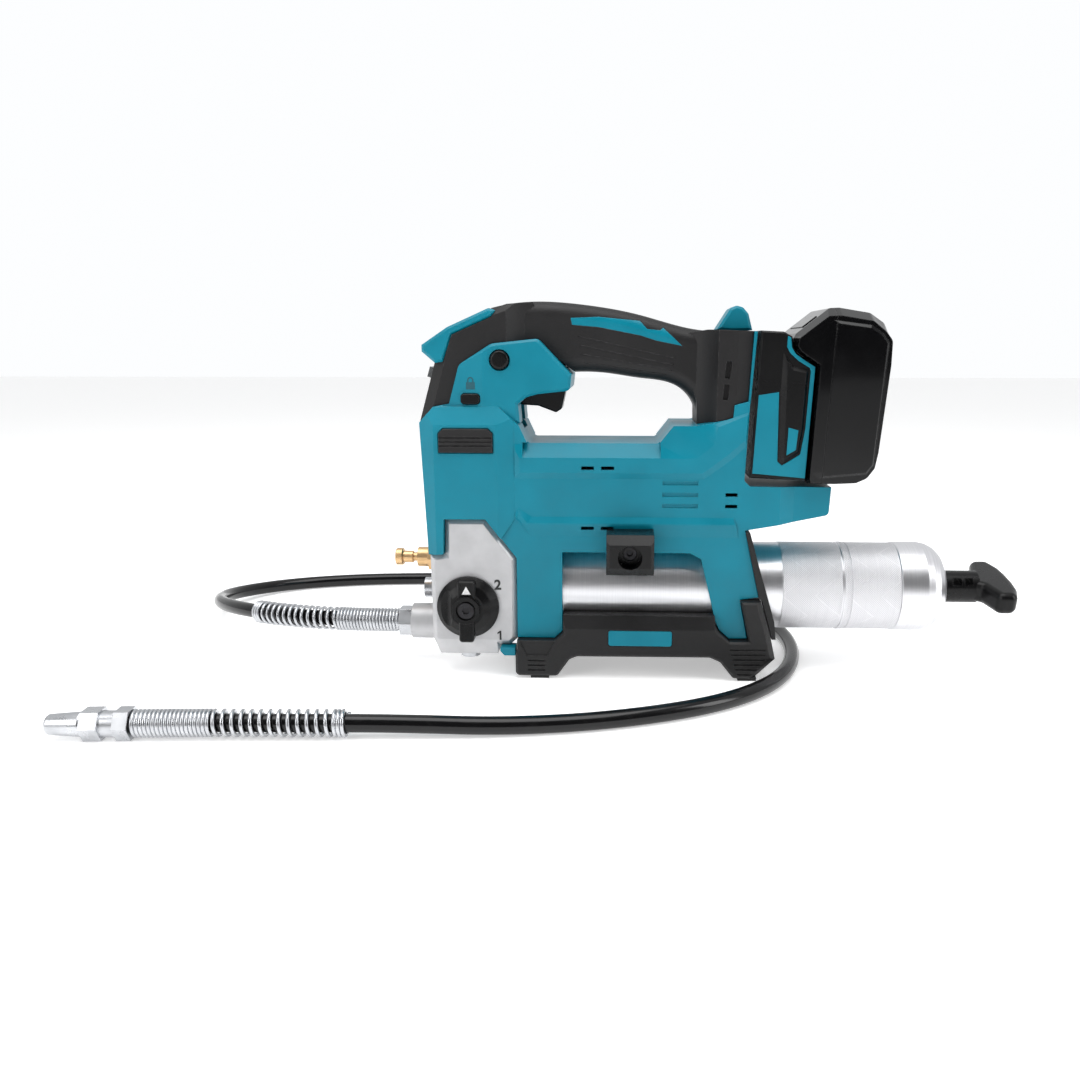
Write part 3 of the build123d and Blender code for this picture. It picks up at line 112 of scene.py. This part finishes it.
# ---- node helpers ---------------------------------------------------------------------------
class Finish:
    """A Principled material whose detail follows the piece's own coordinates."""

    def __init__(self, name, metallic=0.0, **sockets):
        self.material = bpy.data.materials.new(name)
        self.material.use_nodes = True
        self.tree = self.material.node_tree
        self.tree.nodes.clear()
        self.shader = self.tree.nodes.new("ShaderNodeBsdfPrincipled")
        output = self.tree.nodes.new("ShaderNodeOutputMaterial")
        self.tree.links.new(self.shader.outputs["BSDF"], output.inputs["Surface"])
        self.shader.inputs["Metallic"].default_value = metallic
        for socket, value in sockets.items():
            self.shader.inputs[socket.replace("_", " ")].default_value = value
        self.place = self.tree.nodes.new("ShaderNodeTexCoord").outputs["Object"]

    def feed(self, socket, value):
        """Links a socket to another, or sets it to a plain value."""
        if isinstance(value, bpy.types.NodeSocket):
            self.tree.links.new(value, socket)
        else:
            socket.default_value = value

    def maths(self, operation, a, b=0.0, clamp=False):
        """Result of one operation on two sockets or numbers."""
        node = self.tree.nodes.new("ShaderNodeMath")
        node.operation = operation
        node.use_clamp = clamp
        self.feed(node.inputs[0], a)
        self.feed(node.inputs[1], b)
        return node.outputs[0]

    def stretched(self, x, y, z, vector):
        """Coordinates scaled along each axis."""
        node = self.tree.nodes.new("ShaderNodeMapping")
        self.feed(node.inputs["Vector"], vector)
        node.inputs["Scale"].default_value = (x, y, z)
        return node.outputs["Vector"]

    def noise(self, scale, detail=2.0, vector=None):
        """Soft noise from 0 to 1, with about that many blotches to a metre."""
        node = self.tree.nodes.new("ShaderNodeTexNoise")
        self.feed(node.inputs["Vector"], vector or self.place)
        node.inputs["Scale"].default_value = scale
        node.inputs["Detail"].default_value = detail
        return node.outputs[0]

    def ranged(self, value, low, high, out_low=0.0, out_high=1.0):
        """Value moved from one range to another, and held at its ends."""
        node = self.tree.nodes.new("ShaderNodeMapRange")
        for socket, number in zip(node.inputs, (value, low, high, out_low, out_high)):
            self.feed(socket, number)
        return node.outputs[0]

    def mixed(self, share, a, b):
        """Colour between a, at share 0, and b, at share 1."""
        node = self.tree.nodes.new("ShaderNodeMix")
        node.data_type = "RGBA"
        self.feed(node.inputs["Factor"], share)
        for socket, colour in ((node.inputs[6], a), (node.inputs[7], b)):
            linked = isinstance(colour, bpy.types.NodeSocket)
            self.feed(socket, colour if linked else (*colour, 1.0))
        return node.outputs[2]

    def soft_edges(self, radius):
        """Normal that runs smoothly over edges of that radius."""
        node = self.tree.nodes.new("ShaderNodeBevel")
        node.samples = 4
        node.inputs["Radius"].default_value = radius
        return node.outputs["Normal"]

    def edge_wear(self, normal, noise):
        """1 along worn edges, where the soft normal leaves the true one, broken up by noise."""
        true_normal = self.tree.nodes.new("ShaderNodeNewGeometry").outputs["Normal"]
        dot = self.tree.nodes.new("ShaderNodeVectorMath")
        dot.operation = "DOT_PRODUCT"
        self.feed(dot.inputs[0], normal)
        self.feed(dot.inputs[1], true_normal)
        edge = self.ranged(dot.outputs["Value"], 0.995, 0.93)
        return self.maths("MULTIPLY", edge, self.ranged(noise, 0.42, 0.62), clamp=True)

    def bump(self, height, distance, strength, normal=None):
        """Normal over a height of that distance, on top of another normal if one is given."""
        node = self.tree.nodes.new("ShaderNodeBump")
        node.inputs["Distance"].default_value = distance
        node.inputs["Strength"].default_value = strength
        self.feed(node.inputs["Height"], height)
        if normal is not None:
            self.feed(node.inputs["Normal"], normal)
        return node.outputs["Normal"]

    def done(self, colour, roughness, normal):
        """The material, with its colour, roughness and normal linked."""
        self.feed(self.shader.inputs["Base Color"], colour)
        self.feed(self.shader.inputs["Roughness"], roughness)
        self.feed(self.shader.inputs["Normal"], normal)
        return self.material


# ---- plastics and rubbers -------------------------------------------------------------------
def moulded(name, colour, worn, roughness, grain, depth, edge=0.0006, **sockets):
    """Moulded plastic or rubber: spark-eroded grain, faint flow marks and paler worn edges."""
    finish = Finish(name, **sockets)
    cloud = finish.noise(38.0, 4.0)
    fine = finish.noise(grain, 3.0)
    soft = finish.soft_edges(edge)
    rubbed = finish.maths("MULTIPLY", finish.edge_wear(soft, finish.noise(420.0, 3.0)), 0.55)
    darker = tuple(0.86 * channel for channel in colour)
    base = finish.mixed(finish.ranged(cloud, 0.3, 0.7), darker, colour)
    base = finish.mixed(rubbed, base, worn)
    gloss = finish.ranged(cloud, 0.3, 0.7, roughness - 0.05, roughness + 0.05)
    return finish.done(base, gloss, finish.bump(fine, depth, 0.5, soft))


def teal_plastic():
    return moulded("teal_plastic_moulded", colour=(0.0006, 0.205, 0.290), worn=(0.015, 0.31, 0.39),
                   roughness=0.36, grain=2600.0, depth=0.00010, Specular_IOR_Level=0.28)


def dark_overmould():
    return moulded("dark_overmould_stippled", colour=(0.0120, 0.0114, 0.0120),
                   worn=(0.06, 0.06, 0.062), roughness=0.50, grain=1500.0, depth=0.00018,
                   edge=0.0009, Specular_IOR_Level=0.30)


def base_rubber():
    return moulded("base_rubber_matt", colour=(0.0120, 0.0117, 0.0122), worn=(0.055, 0.054, 0.056),
                   roughness=0.46, grain=1200.0, depth=0.00020, edge=0.0009,
                   Specular_IOR_Level=0.30)


def black_plastic():
    return moulded("black_plastic_satin", colour=(0.0034, 0.0034, 0.0037),
                   worn=(0.030, 0.030, 0.031), roughness=0.28, grain=2200.0, depth=0.00008,
                   Specular_IOR_Level=0.22)


def black_gloss():
    """Polished battery case: almost no grain, light scuffs and a clear skin."""
    finish = Finish("black_gloss_polished", Specular_IOR_Level=0.2, Coat_Weight=0.2,
                    Coat_Roughness=0.05)
    scuffs = finish.noise(60.0, 5.0)
    soft = finish.soft_edges(0.0009)
    rubbed = finish.maths("MULTIPLY", finish.edge_wear(soft, finish.noise(500.0, 3.0)), 0.35)
    base = finish.mixed(finish.ranged(finish.noise(30.0), 0.3, 0.7), (0.0022, 0.0022, 0.0025),
                        (0.0035, 0.0035, 0.004))
    base = finish.mixed(rubbed, base, (0.05, 0.05, 0.052))
    gloss = finish.ranged(scuffs, 0.45, 0.75, 0.10, 0.15)
    return finish.done(base, gloss, finish.bump(finish.noise(900.0), 0.00001, 0.2, soft))


def seal_rubber():
    return moulded("seal_rubber_ringed", colour=(0.014, 0.013, 0.013), worn=(0.05, 0.05, 0.05),
                   roughness=0.50, grain=1800.0, depth=0.00010)


def cell_wrap():
    return moulded("cell_wrap_film", colour=(0.02, 0.09, 0.16), worn=(0.10, 0.2, 0.3),
                   roughness=0.30, grain=600.0, depth=0.00005)


def clear_lens():
    """Small diffusing lamp lens with moulded prisms."""
    finish = Finish("clear_lens_prismatic", Transmission_Weight=0.35, IOR=1.49, Coat_Weight=0.5)
    prisms = finish.tree.nodes.new("ShaderNodeTexWave")
    finish.feed(prisms.inputs["Vector"], finish.place)
    prisms.bands_direction = "Y"
    prisms.inputs["Scale"].default_value = 260.0
    base = finish.mixed(finish.noise(300.0, 3.0), (0.10, 0.105, 0.11), (0.22, 0.225, 0.23))
    normal = finish.bump(prisms.outputs["Fac"], 0.00015, 0.5, finish.soft_edges(0.0004))
    return finish.done(base, finish.ranged(finish.noise(200.0), 0.3, 0.7, 0.08, 0.16), normal)


def hose_black():
    """Extruded hose cover: glossy and slightly uneven, with some dust."""
    finish = Finish("hose_black_extruded", Specular_IOR_Level=0.35)
    dust = finish.ranged(finish.noise(160.0, 5.0), 0.55, 0.8)
    base = finish.mixed(finish.maths("MULTIPLY", dust, 0.35), (0.0045, 0.0044, 0.0048),
                        (0.026, 0.0255, 0.025))
    gloss = finish.ranged(finish.noise(45.0, 3.0), 0.3, 0.7, 0.12, 0.20)
    return finish.done(base, gloss, finish.bump(finish.noise(700.0, 3.0), 0.00006, 0.35))


# ---- metals ---------------------------------------------------------------------------------
def metal(name, colour, stain, roughness, grain, depth, edge=0.0004, metallic=1.0):
    """Metal with mottled colour and roughness, fine pits and brighter rubbed edges."""
    finish = Finish(name, metallic=metallic)
    cloud = finish.noise(70.0, 5.0)
    soft = finish.soft_edges(edge)
    rubbed = finish.edge_wear(soft, finish.noise(600.0, 3.0))
    brighter = tuple(min(1.0, 1.25 * channel) for channel in colour)
    base = finish.mixed(finish.ranged(cloud, 0.35, 0.75), colour, stain)
    base = finish.mixed(finish.maths("MULTIPLY", rubbed, 0.6), base, brighter)
    gloss = finish.ranged(finish.noise(140.0, 4.0), 0.3, 0.7, roughness - 0.07, roughness + 0.07)
    return finish.done(base, gloss, finish.bump(finish.noise(grain, 3.0), depth, 0.5, soft))


def cast_aluminium():
    return metal("cast_aluminium_blasted", colour=(0.52, 0.52, 0.53), stain=(0.45, 0.45, 0.46),
                 roughness=0.44, grain=1900.0, depth=0.00012, edge=0.0008, metallic=0.55)


def dark_steel():
    return metal("dark_steel_blackened", colour=(0.045, 0.045, 0.05), stain=(0.03, 0.028, 0.027),
                 roughness=0.42, grain=1500.0, depth=0.00006)


def zinc_steel():
    return metal("zinc_steel_plated", colour=(0.56, 0.57, 0.59), stain=(0.46, 0.47, 0.49),
                 roughness=0.30, grain=1100.0, depth=0.00002)


def steel():
    return metal("steel_ground", colour=(0.56, 0.57, 0.59), stain=(0.44, 0.44, 0.45),
                 roughness=0.30, grain=1300.0, depth=0.00005)


def brass():
    return metal("brass_turned", colour=(0.70, 0.47, 0.25), stain=(0.60, 0.39, 0.19),
                 roughness=0.36, grain=1300.0, depth=0.00003)


def copper():
    return metal("copper_stamped", colour=(0.80, 0.42, 0.28), stain=(0.55, 0.28, 0.18),
                 roughness=0.28, grain=1300.0, depth=0.00005)


def barrel_steel():
    """Turned barrel: fine lathe lines round the axis and knurled bands with smooth arrow lines."""
    finish = Finish("barrel_steel_turned", metallic=1.0)
    split = finish.tree.nodes.new("ShaderNodeSeparateXYZ")
    finish.feed(split.inputs[0], finish.place)
    along, side, height = split.outputs
    angle = finish.maths("ARCTAN2", side, finish.maths("SUBTRACT", height, BARREL_Z))
    around = finish.maths("MULTIPLY", angle, KNURL_R)
    unrolled = finish.tree.nodes.new("ShaderNodeCombineXYZ")
    finish.feed(unrolled.inputs[0], along)
    finish.feed(unrolled.inputs[1], around)
    lathe_lines = finish.stretched(1500.0, 22.0, 1.0, unrolled.outputs[0])
    turned = finish.noise(1.0, 3.0, lathe_lines)
    cut = finish.maths("MULTIPLY", knurled_bands(finish, along),
                       finish.maths("SUBTRACT", 1.0, arrow_lines(finish, along, around)))
    diamonds = knurl_diamonds(finish, along, around)
    base = finish.mixed(finish.ranged(turned, 0.3, 0.7), (0.72, 0.72, 0.745), (0.80, 0.80, 0.82))
    # Painted shade: the knurl's low parts are darkened in colour, standing in for the shadow in
    # its grooves.
    groove_painted_shade = finish.maths("MULTIPLY", cut, finish.ranged(diamonds, 1.0, -0.2, 0.0, 0.6))
    base = finish.mixed(groove_painted_shade, base, (0.40, 0.40, 0.42))
    gloss = finish.ranged(turned, 0.3, 0.7, 0.33, 0.37)
    gloss = finish.maths("ADD", gloss, finish.maths("MULTIPLY", cut, 0.08))
    lines = finish.bump(turned, 0.00001, 0.06, finish.soft_edges(0.0004))
    return finish.done(base, gloss, finish.bump(
        finish.maths("MULTIPLY", cut, diamonds), 0.00012, 0.8, lines))


def knurled_bands(finish, along):
    """1 on the knurled bands and 0 beside them."""
    knurled = 0.0
    for low, high in KNURL_BANDS:
        rise = finish.ranged(along, low, low + KNURL_FADE)
        fall = finish.ranged(along, high - KNURL_FADE, high, 1.0, 0.0)
        knurled = finish.maths("ADD", knurled, finish.maths("MULTIPLY", rise, fall))
    return knurled


def knurl_diamonds(finish, along, around):
    """Height of the knurl's crossing ridges."""
    waves = []
    for operation in ("ADD", "SUBTRACT"):
        phase = finish.maths("MULTIPLY", finish.maths(operation, along, around),
                             2 * math.pi / KNURL_PITCH)
        waves.append(finish.maths("SINE", phase))
    return finish.maths("MAXIMUM", *waves)


def arrow_lines(finish, along, around):
    """0.7 on lines that zigzag round the barrel, where the knurl is mostly smoothed away."""
    once_round = 2 * math.pi * KNURL_R
    zigzag = finish.maths("PINGPONG", finish.maths("ADD", around, once_round),
                          once_round / ARROWS_ROUND / 2)
    shifted = finish.maths("ADD", finish.maths("MULTIPLY", zigzag, ARROW_SLOPE), along)
    distance = finish.maths("PINGPONG", shifted, ARROW_SPACING / 2)
    return finish.ranged(distance, 0.0005, 0.0002, 0.0, 0.7)


FINISHES = {make.__name__: make() for make in (
    teal_plastic, dark_overmould, base_rubber, black_plastic, black_gloss, seal_rubber, cell_wrap,
    clear_lens, hose_black, cast_aluminium, dark_steel, zinc_steel, steel, brass, copper,
    barrel_steel)}
SLOT_OF = {row["node"]: row["material_slot"] for row in frame["record"]["subparts"]}


def finish_cad():
    """Every CAD piece gets the finish of its slot."""
    for name, node in NODES.items():
        for holder in node.material_slots:
            holder.material = FINISHES[SLOT_OF[name]]


# ---- mesh helpers ---------------------------------------------------------------------------
def body_of_node(node):
    """Name of the CAD body that a CAD node rides on."""
    parent = NODES[node].parent
    return next(name for name, empty in frame["bodies"].items() if empty == parent)


def place_in_scene(name, data):
    """An object for a mesh, curve, text, light or camera."""
    holder = bpy.data.objects.new(name, data)
    bpy.context.scene.collection.objects.link(holder)
    return holder


def wire_piece(name, path, radius, sides, slot_name, body):
    """A round wire along a path, with a slot's finish, riding on a body."""
    points, faces = wire_mesh(path, radius, sides)
    mesh = bpy.data.meshes.new(name)
    mesh.from_pydata([tuple(point) for point in points], [], faces)
    mesh.polygons.foreach_set("use_smooth", [True] * len(mesh.polygons))
    mesh.validate()
    piece = place_in_scene(name, mesh)
    mesh.materials.append(FINISHES[slot_name])
    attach(piece, body)
    return piece


def wire_mesh(path, radius, sides):
    """Points and faces of a closed round wire along a path."""
    path = [Vector(point) for point in path]
    points, faces = [], []
    normal = (path[1] - path[0]).normalized().orthogonal().normalized()
    last = len(path) - 1
    for i, centre in enumerate(path):
        ahead = (path[min(i + 1, last)] - path[max(i - 1, 0)]).normalized()
        normal = (normal - ahead * normal.dot(ahead)).normalized()
        other = ahead.cross(normal)
        for k in range(sides):
            turn = 2 * math.pi * k / sides
            points.append(centre + radius * (math.cos(turn) * normal + math.sin(turn) * other))
        if i:
            row = sides * i
            for k in range(sides):
                n = (k + 1) % sides
                faces.append((row - sides + k, row - sides + n, row + n, row + k))
    faces.append(tuple(reversed(range(sides))))
    faces.append(tuple(range(sides * last, sides * last + sides)))
    return points, faces


def line_of(curve):
    """Points along a curve that has no bevel, in order."""
    bare = curve.copy()
    bare.data = curve.data.copy()
    bare.data.bevel_depth = 0.0
    mesh = bpy.data.meshes.new_from_object(bare)
    bpy.data.objects.remove(bare)
    return np.array([vertex.co for vertex in mesh.vertices], float)


class Line:
    """A smooth line with a frame that doesn't twist, measured by arc length."""

    def __init__(self, points):
        self.points = np.array(points, float)
        steps = np.linalg.norm(np.diff(self.points, axis=0), axis=1)
        self.at = np.concatenate([[0.0], np.cumsum(steps)])
        self.length = self.at[-1]
        tangents = np.gradient(self.points, axis=0)
        self.tangents = tangents / np.linalg.norm(tangents, axis=1)[:, None]
        normal = np.array(Vector(self.tangents[0]).orthogonal().normalized())
        normals = []
        for tangent in self.tangents:
            normal = normal - tangent * normal.dot(tangent)
            normal = normal / np.linalg.norm(normal)
            normals.append(normal)
        self.normals = np.array(normals)

    def read(self, rows, distance):
        """What the rows say at a distance along the line."""
        return np.array([np.interp(distance, self.at, rows[:, axis]) for axis in range(3)])

    def helix_point(self, distance, radius, turn):
        """Point beside the line, at that radius and turn."""
        tangent = self.read(self.tangents, distance)
        normal = self.read(self.normals, distance)
        other = np.cross(tangent, normal)
        centre = self.read(self.points, distance)
        return centre + radius * (math.cos(turn) * normal + math.sin(turn) * other)


def coil(line, start, sections, radius, steps):
    """Helix along a line: each section has a number of turns and the pitch between them."""
    points, distance, turn = [], start, 0.0
    for turns, pitch in sections:
        for _ in range(turns * steps):
            points.append(line.helix_point(distance, radius, turn))
            distance += pitch / steps
            turn += 2 * math.pi / steps
    return points


# ---- hose, guards and springs ---------------------------------------------------------------
def hose():
    """The hose: one smooth spline that follows the route over the floor."""
    data = bpy.data.curves.new("hose", "CURVE")
    data.dimensions = "3D"
    spline = data.splines.new("NURBS")
    spline.points.add(len(HOSE_ROUTE) - 1)
    for point, place in zip(spline.points, HOSE_ROUTE):
        point.co = (*place, 1.0)
    # These two only hold once the points have their places.
    spline.order_u = 3
    spline.use_endpoint_u = True
    spline.resolution_u = 14
    data.bevel_depth = HOSE_R
    data.bevel_resolution = 7
    data.use_fill_caps = True
    data.materials.append(FINISHES["hose_black"])
    piece = place_in_scene("hose", data)
    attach(piece, body_of_node("hose_tube"))
    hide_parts("hose_tube")
    return piece


def guard(name, node, line, outer_radius, length):
    """Spring guard: close coils at the fitting, open coils, then a few close ones at the end."""
    pitch = (length - (CLOSE_TURNS + END_TURNS) * CLOSE_PITCH - 2 * GUARD_WIRE_R) / OPEN_TURNS
    sections = ((CLOSE_TURNS, CLOSE_PITCH), (OPEN_TURNS, pitch), (END_TURNS, CLOSE_PITCH))
    path = coil(line, GUARD_WIRE_R, sections, outer_radius - GUARD_WIRE_R, steps=26)
    piece = wire_piece(name, path, GUARD_WIRE_R, 10, "zinc_steel", body_of_node(node))
    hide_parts(node)
    return piece


def hose_with_guards():
    """The hose and its two coiled guards."""
    curve = hose()
    points = line_of(curve)
    front = guard("guard_coil_outlet", "hose_guard_front", Line(points), *OUTLET_GUARD)
    rear = guard("guard_coil_coupler", "hose_guard_rear", Line(points[::-1]), *COUPLER_GUARD)


def straight_spring(name, node, start, end, radius, wire, turns):
    """Compression spring between two points."""
    start, end = np.array(start), np.array(end)
    line = Line([start + (end - start) * share for share in np.linspace(0.0, 1.0, 24)])
    pitch = (line.length - 2 * wire) / turns
    path = coil(line, wire, ((turns, pitch),), radius, steps=20)
    piece = wire_piece(name, path, wire, 8, "steel", body_of_node(node))
    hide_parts(node)
    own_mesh(piece)


def springs():
    """Follower spring along the barrel and return spring above the trigger."""
    low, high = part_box("follower_spring")
    middle = (low + high) / 2
    straight_spring("follower_coil", "follower_spring",
                    (low.x, middle.y, middle.z), (high.x, middle.y, middle.z),
                    (high.z - low.z) / 2 - FOLLOWER_WIRE_R, FOLLOWER_WIRE_R, FOLLOWER_TURNS)
    low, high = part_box("trigger_spring")
    middle = (low + high) / 2
    straight_spring("trigger_coil", "trigger_spring",
                    (middle.x, middle.y, low.z), (middle.x, middle.y, high.z),
                    (high.x - low.x) / 2 - TRIGGER_WIRE_R, TRIGGER_WIRE_R, TRIGGER_TURNS)


# ---- marks and grip ribs --------------------------------------------------------------------
def print_finish(name, colour):
    """Pad-printed or painted mark: slightly uneven ink."""
    finish = Finish(name)
    base = finish.mixed(finish.ranged(finish.noise(900.0, 4.0), 0.3, 0.7),
                        tuple(0.85 * channel for channel in colour), colour)
    return finish.done(base, finish.ranged(finish.noise(500.0), 0.3, 0.7, 0.38, 0.5),
                       finish.bump(finish.noise(2500.0), 0.00004, 0.4))


def surface_tree(*names):
    """Search tree over some CAD pieces, for laying marks on their faces."""
    points, faces = [], []
    for name in names:
        mesh = NODES[name].data
        base = len(points)
        points += [vertex.co.copy() for vertex in mesh.vertices]
        faces += [[base + i for i in polygon.vertices] for polygon in mesh.polygons]
    return BVHTree.FromPolygons(points, faces)


def on_side(tree, x, z, side):
    """Point and outward normal of the surface seen from that side (-1 near, 1 far)."""
    point, normal, _, _ = tree.ray_cast(Vector((x, side * 0.2, z)), Vector((0, -side, 0)))
    return point, normal


def mesh_mark(name, mesh, material, body):
    """A mark with its ink, riding on a body."""
    mesh.materials.clear()
    mesh.materials.append(material)
    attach(place_in_scene(name, mesh), body)


def flat_mark(name, loops, point, normal, thickness, material, body):
    """Mark with the given outlines in X and Z, standing a little out of a plane seen from -Y."""
    form = bmesh.new()
    for loop in loops:
        depths = [point.y - (normal.x * (x - point.x) + normal.z * (z - point.z)) / normal.y
                  for x, z in loop]
        front = [form.verts.new((x, y - thickness, z)) for (x, z), y in zip(loop, depths)]
        back = [form.verts.new((x, y + thickness, z)) for (x, z), y in zip(loop, depths)]
        form.faces.new(front)
        form.faces.new(list(reversed(back)))
        for i in range(len(loop)):
            n = (i + 1) % len(loop)
            form.faces.new((front[i], back[i], back[n], front[n]))
    bmesh.ops.recalc_face_normals(form, faces=form.faces)
    mesh = bpy.data.meshes.new(name)
    form.to_mesh(mesh)
    form.free()
    mesh_mark(name, mesh, material, body)


def padlock(material):
    """Generic padlock above the lock-off button, in a darker teal."""
    x, z = -0.1104, 0.1875
    width, tall = 0.0056, 0.0044
    # The shackle's two radii, the length of its legs and their overlap with the plate.
    outer, inner, rise, lap = 0.0020, 0.0012, 0.0012, 0.0001
    point, normal = on_side(surface_tree("housing_left", "housing_right"), x, z, -1)
    top = z + tall / 2
    plate = [(x - width / 2, z - tall / 2), (x + width / 2, z - tall / 2),
             (x + width / 2, top), (x - width / 2, top)]
    over, under = ([(x + r * math.cos(a), top + rise + r * math.sin(a))
                    for a in np.linspace(0.0, math.pi, 13)] for r in (outer, inner))
    shackle = [(x + outer, top - lap), *over, (x - outer, top - lap),
               (x - inner, top - lap), *reversed(under), (x + inner, top - lap)]
    flat_mark("padlock_mark", [plate, shackle], point, normal, MARK_THICK, material, "root")


def dial_pointer(material):
    """White triangle in the selector's pointer pocket."""
    x, z = DIAL
    low, tall, half = z + 0.0101, 0.0052, 0.0029
    triangle = [(x - half, low), (x + half, low), (x, low + tall)]
    flat_mark("dial_pointer", [triangle], Vector((x, DIAL_FACE_Y, z)), Vector((0.0, -1.0, 0.0)),
              MARK_THICK, material, "selector")


def speed_numbers(material):
    """The numbers 1 and 2 beside the selector, on the pump head."""
    face = surface_tree("pump_head")
    x, z = -0.0943, 0.0273
    point, normal = on_side(face, x, z, -1)
    one = [(x + MM * a, z + MM * b) for a, b in (
        (-0.1, -3.1), (1.1, -3.1), (1.1, 3.1), (0.2, 3.1), (-1.5, 1.8), (-1.5, 0.7), (-0.1, 1.6))]
    flat_mark("number_1", [one], point, normal, NUMBER_THICK, material, "root")
    x, z = -0.0950, 0.0609
    point, _ = on_side(face, x, z, -1)
    data = bpy.data.curves.new("number_2", "FONT")
    data.body = "2"
    data.size = 0.0090
    data.align_x = "CENTER"
    data.align_y = "CENTER"
    data.extrude = NUMBER_THICK
    data.offset = 0.00030
    text = place_in_scene("number_2_text", data)
    mesh = bpy.data.meshes.new_from_object(text)
    bpy.data.objects.remove(text)
    mesh.transform(Matrix.Translation((x, point.y, z)) @ Matrix.Rotation(math.pi / 2, 4, "X"))
    mesh_mark("number_2", mesh, material, "root")


def grip_ribs():
    """Four raised ribs that run back along the lower edge of the grip's panel, on both sides."""
    starts = ((-45.7, 218.1), (-44.0, 212.5), (-43.3, 207.1), (-41.2, 201.9))
    ends = ((19.0, 203.7), (17.7, 199.9), (16.6, 196.6), (12.9, 193.9))
    tree = surface_tree("grip_left", "grip_right")
    for side, label in ((-1, "near"), (1, "far")):
        for number, (a, b) in enumerate(zip(starts, ends)):
            path = []
            for share in np.linspace(0.03, 0.97, 30):
                x, z = (MM * (p + (q - p) * share) for p, q in zip(a, b))
                point, normal = on_side(tree, x, z, side)
                if point is not None:
                    path.append(point - PRESSED * normal)
            wire_piece(f"grip_rib_{label}_{number + 1}", path, RIB_R, 8, "dark_overmould", "root")


# ---- camera, floor and light ----------------------------------------------------------------
def add_camera():
    """Long, slightly raised side view of the tool."""
    data = bpy.data.cameras.new("camera")
    data.sensor_width = 36.0
    data.lens = 30.5
    data.shift_x = -0.035
    data.clip_start = 0.02
    camera = place_in_scene("camera", data)
    camera.location = (-0.0186, -0.600, 0.211)
    camera.rotation_euler = (math.radians(78.1), 0.0, math.radians(2.5))
    bpy.context.scene.camera = camera


def add_floor():
    """Plain pale floor, with a faint glow that keeps it pale far from the lights."""
    finish = Finish("studio_floor", Specular_IOR_Level=0.1, Emission_Strength=0.42,
                    Emission_Color=(1.0, 1.0, 1.0, 1.0))
    base = finish.mixed(finish.noise(6.0), (0.90, 0.90, 0.90), (0.93, 0.93, 0.93))
    finish.done(base, finish.ranged(finish.noise(20.0), 0.3, 0.7, 0.55, 0.65),
                finish.bump(finish.noise(60.0), 0.0002, 0.1))
    mesh = bpy.data.meshes.new("studio_floor")
    half = 6.0
    mesh.from_pydata([(-half, -half, 0), (half, -half, 0), (half, half, 0), (-half, half, 0)], [],
                     [(0, 1, 2, 3)])
    mesh.materials.append(finish.material)
    place_in_scene("studio_floor", mesh)


def softbox(name, place, target, size, power):
    """Rectangular area light that looks at a target."""
    data = bpy.data.lights.new(name, "AREA")
    data.shape = "RECTANGLE"
    data.size, data.size_y = size
    data.energy = power
    light = place_in_scene(name, data)
    light.location = place
    aim = Vector(target) - Vector(place)
    light.rotation_euler = aim.to_track_quat("-Z", "Y").to_euler()


def add_light():
    """Bright surround that is darker in front of the tool, and three large softboxes."""
    world = bpy.data.worlds.new("studio")
    world.use_nodes = True
    tree = world.node_tree
    back = tree.nodes["Background"]
    way = tree.nodes.new("ShaderNodeTexCoord").outputs["Generated"]
    split = tree.nodes.new("ShaderNodeSeparateXYZ")
    tree.links.new(way, split.inputs[0])
    shade = tree.nodes.new("ShaderNodeMapRange")
    tree.links.new(split.outputs["Y"], shade.inputs["Value"])
    levels = {"From Min": -0.7, "From Max": 0.25, "To Min": 0.05, "To Max": 0.80}
    for name, number in levels.items():
        shade.inputs[name].default_value = number
    # The camera itself sees the surround as plain white.
    seen = tree.nodes.new("ShaderNodeLightPath").outputs["Is Camera Ray"]
    level = tree.nodes.new("ShaderNodeMath")
    level.operation = "MAXIMUM"
    tree.links.new(shade.outputs[0], level.inputs[0])
    tree.links.new(seen, level.inputs[1])
    tree.links.new(level.outputs[0], back.inputs["Strength"])
    back.inputs["Color"].default_value = (0.98, 0.99, 1.0, 1.0)
    bpy.context.scene.world = world
    softbox("overhead_softbox", place=(-0.1, -0.25, 1.3), target=(-0.05, 0.0, 0.1),
            size=(1.5, 0.9), power=15.0)
    softbox("left_softbox", place=(-1.1, -1.0, 0.7), target=(-0.1, 0.0, 0.1),
            size=(0.7, 0.9), power=8.0)
    softbox("right_softbox", place=(1.2, -0.5, 0.6), target=(0.05, 0.0, 0.1),
            size=(0.4, 0.9), power=6.0)
    bpy.context.scene.view_settings.view_transform = "Standard"


finish_cad()
hose_with_guards()
springs()
padlock(print_finish("padlock_teal", (0.002, 0.085, 0.115)))
dial_pointer(print_finish("mark_white", (0.85, 0.85, 0.85)))
speed_numbers(print_finish("mark_black", (0.004, 0.004, 0.004)))
grip_ribs()
add_floor()
add_light()
add_camera()
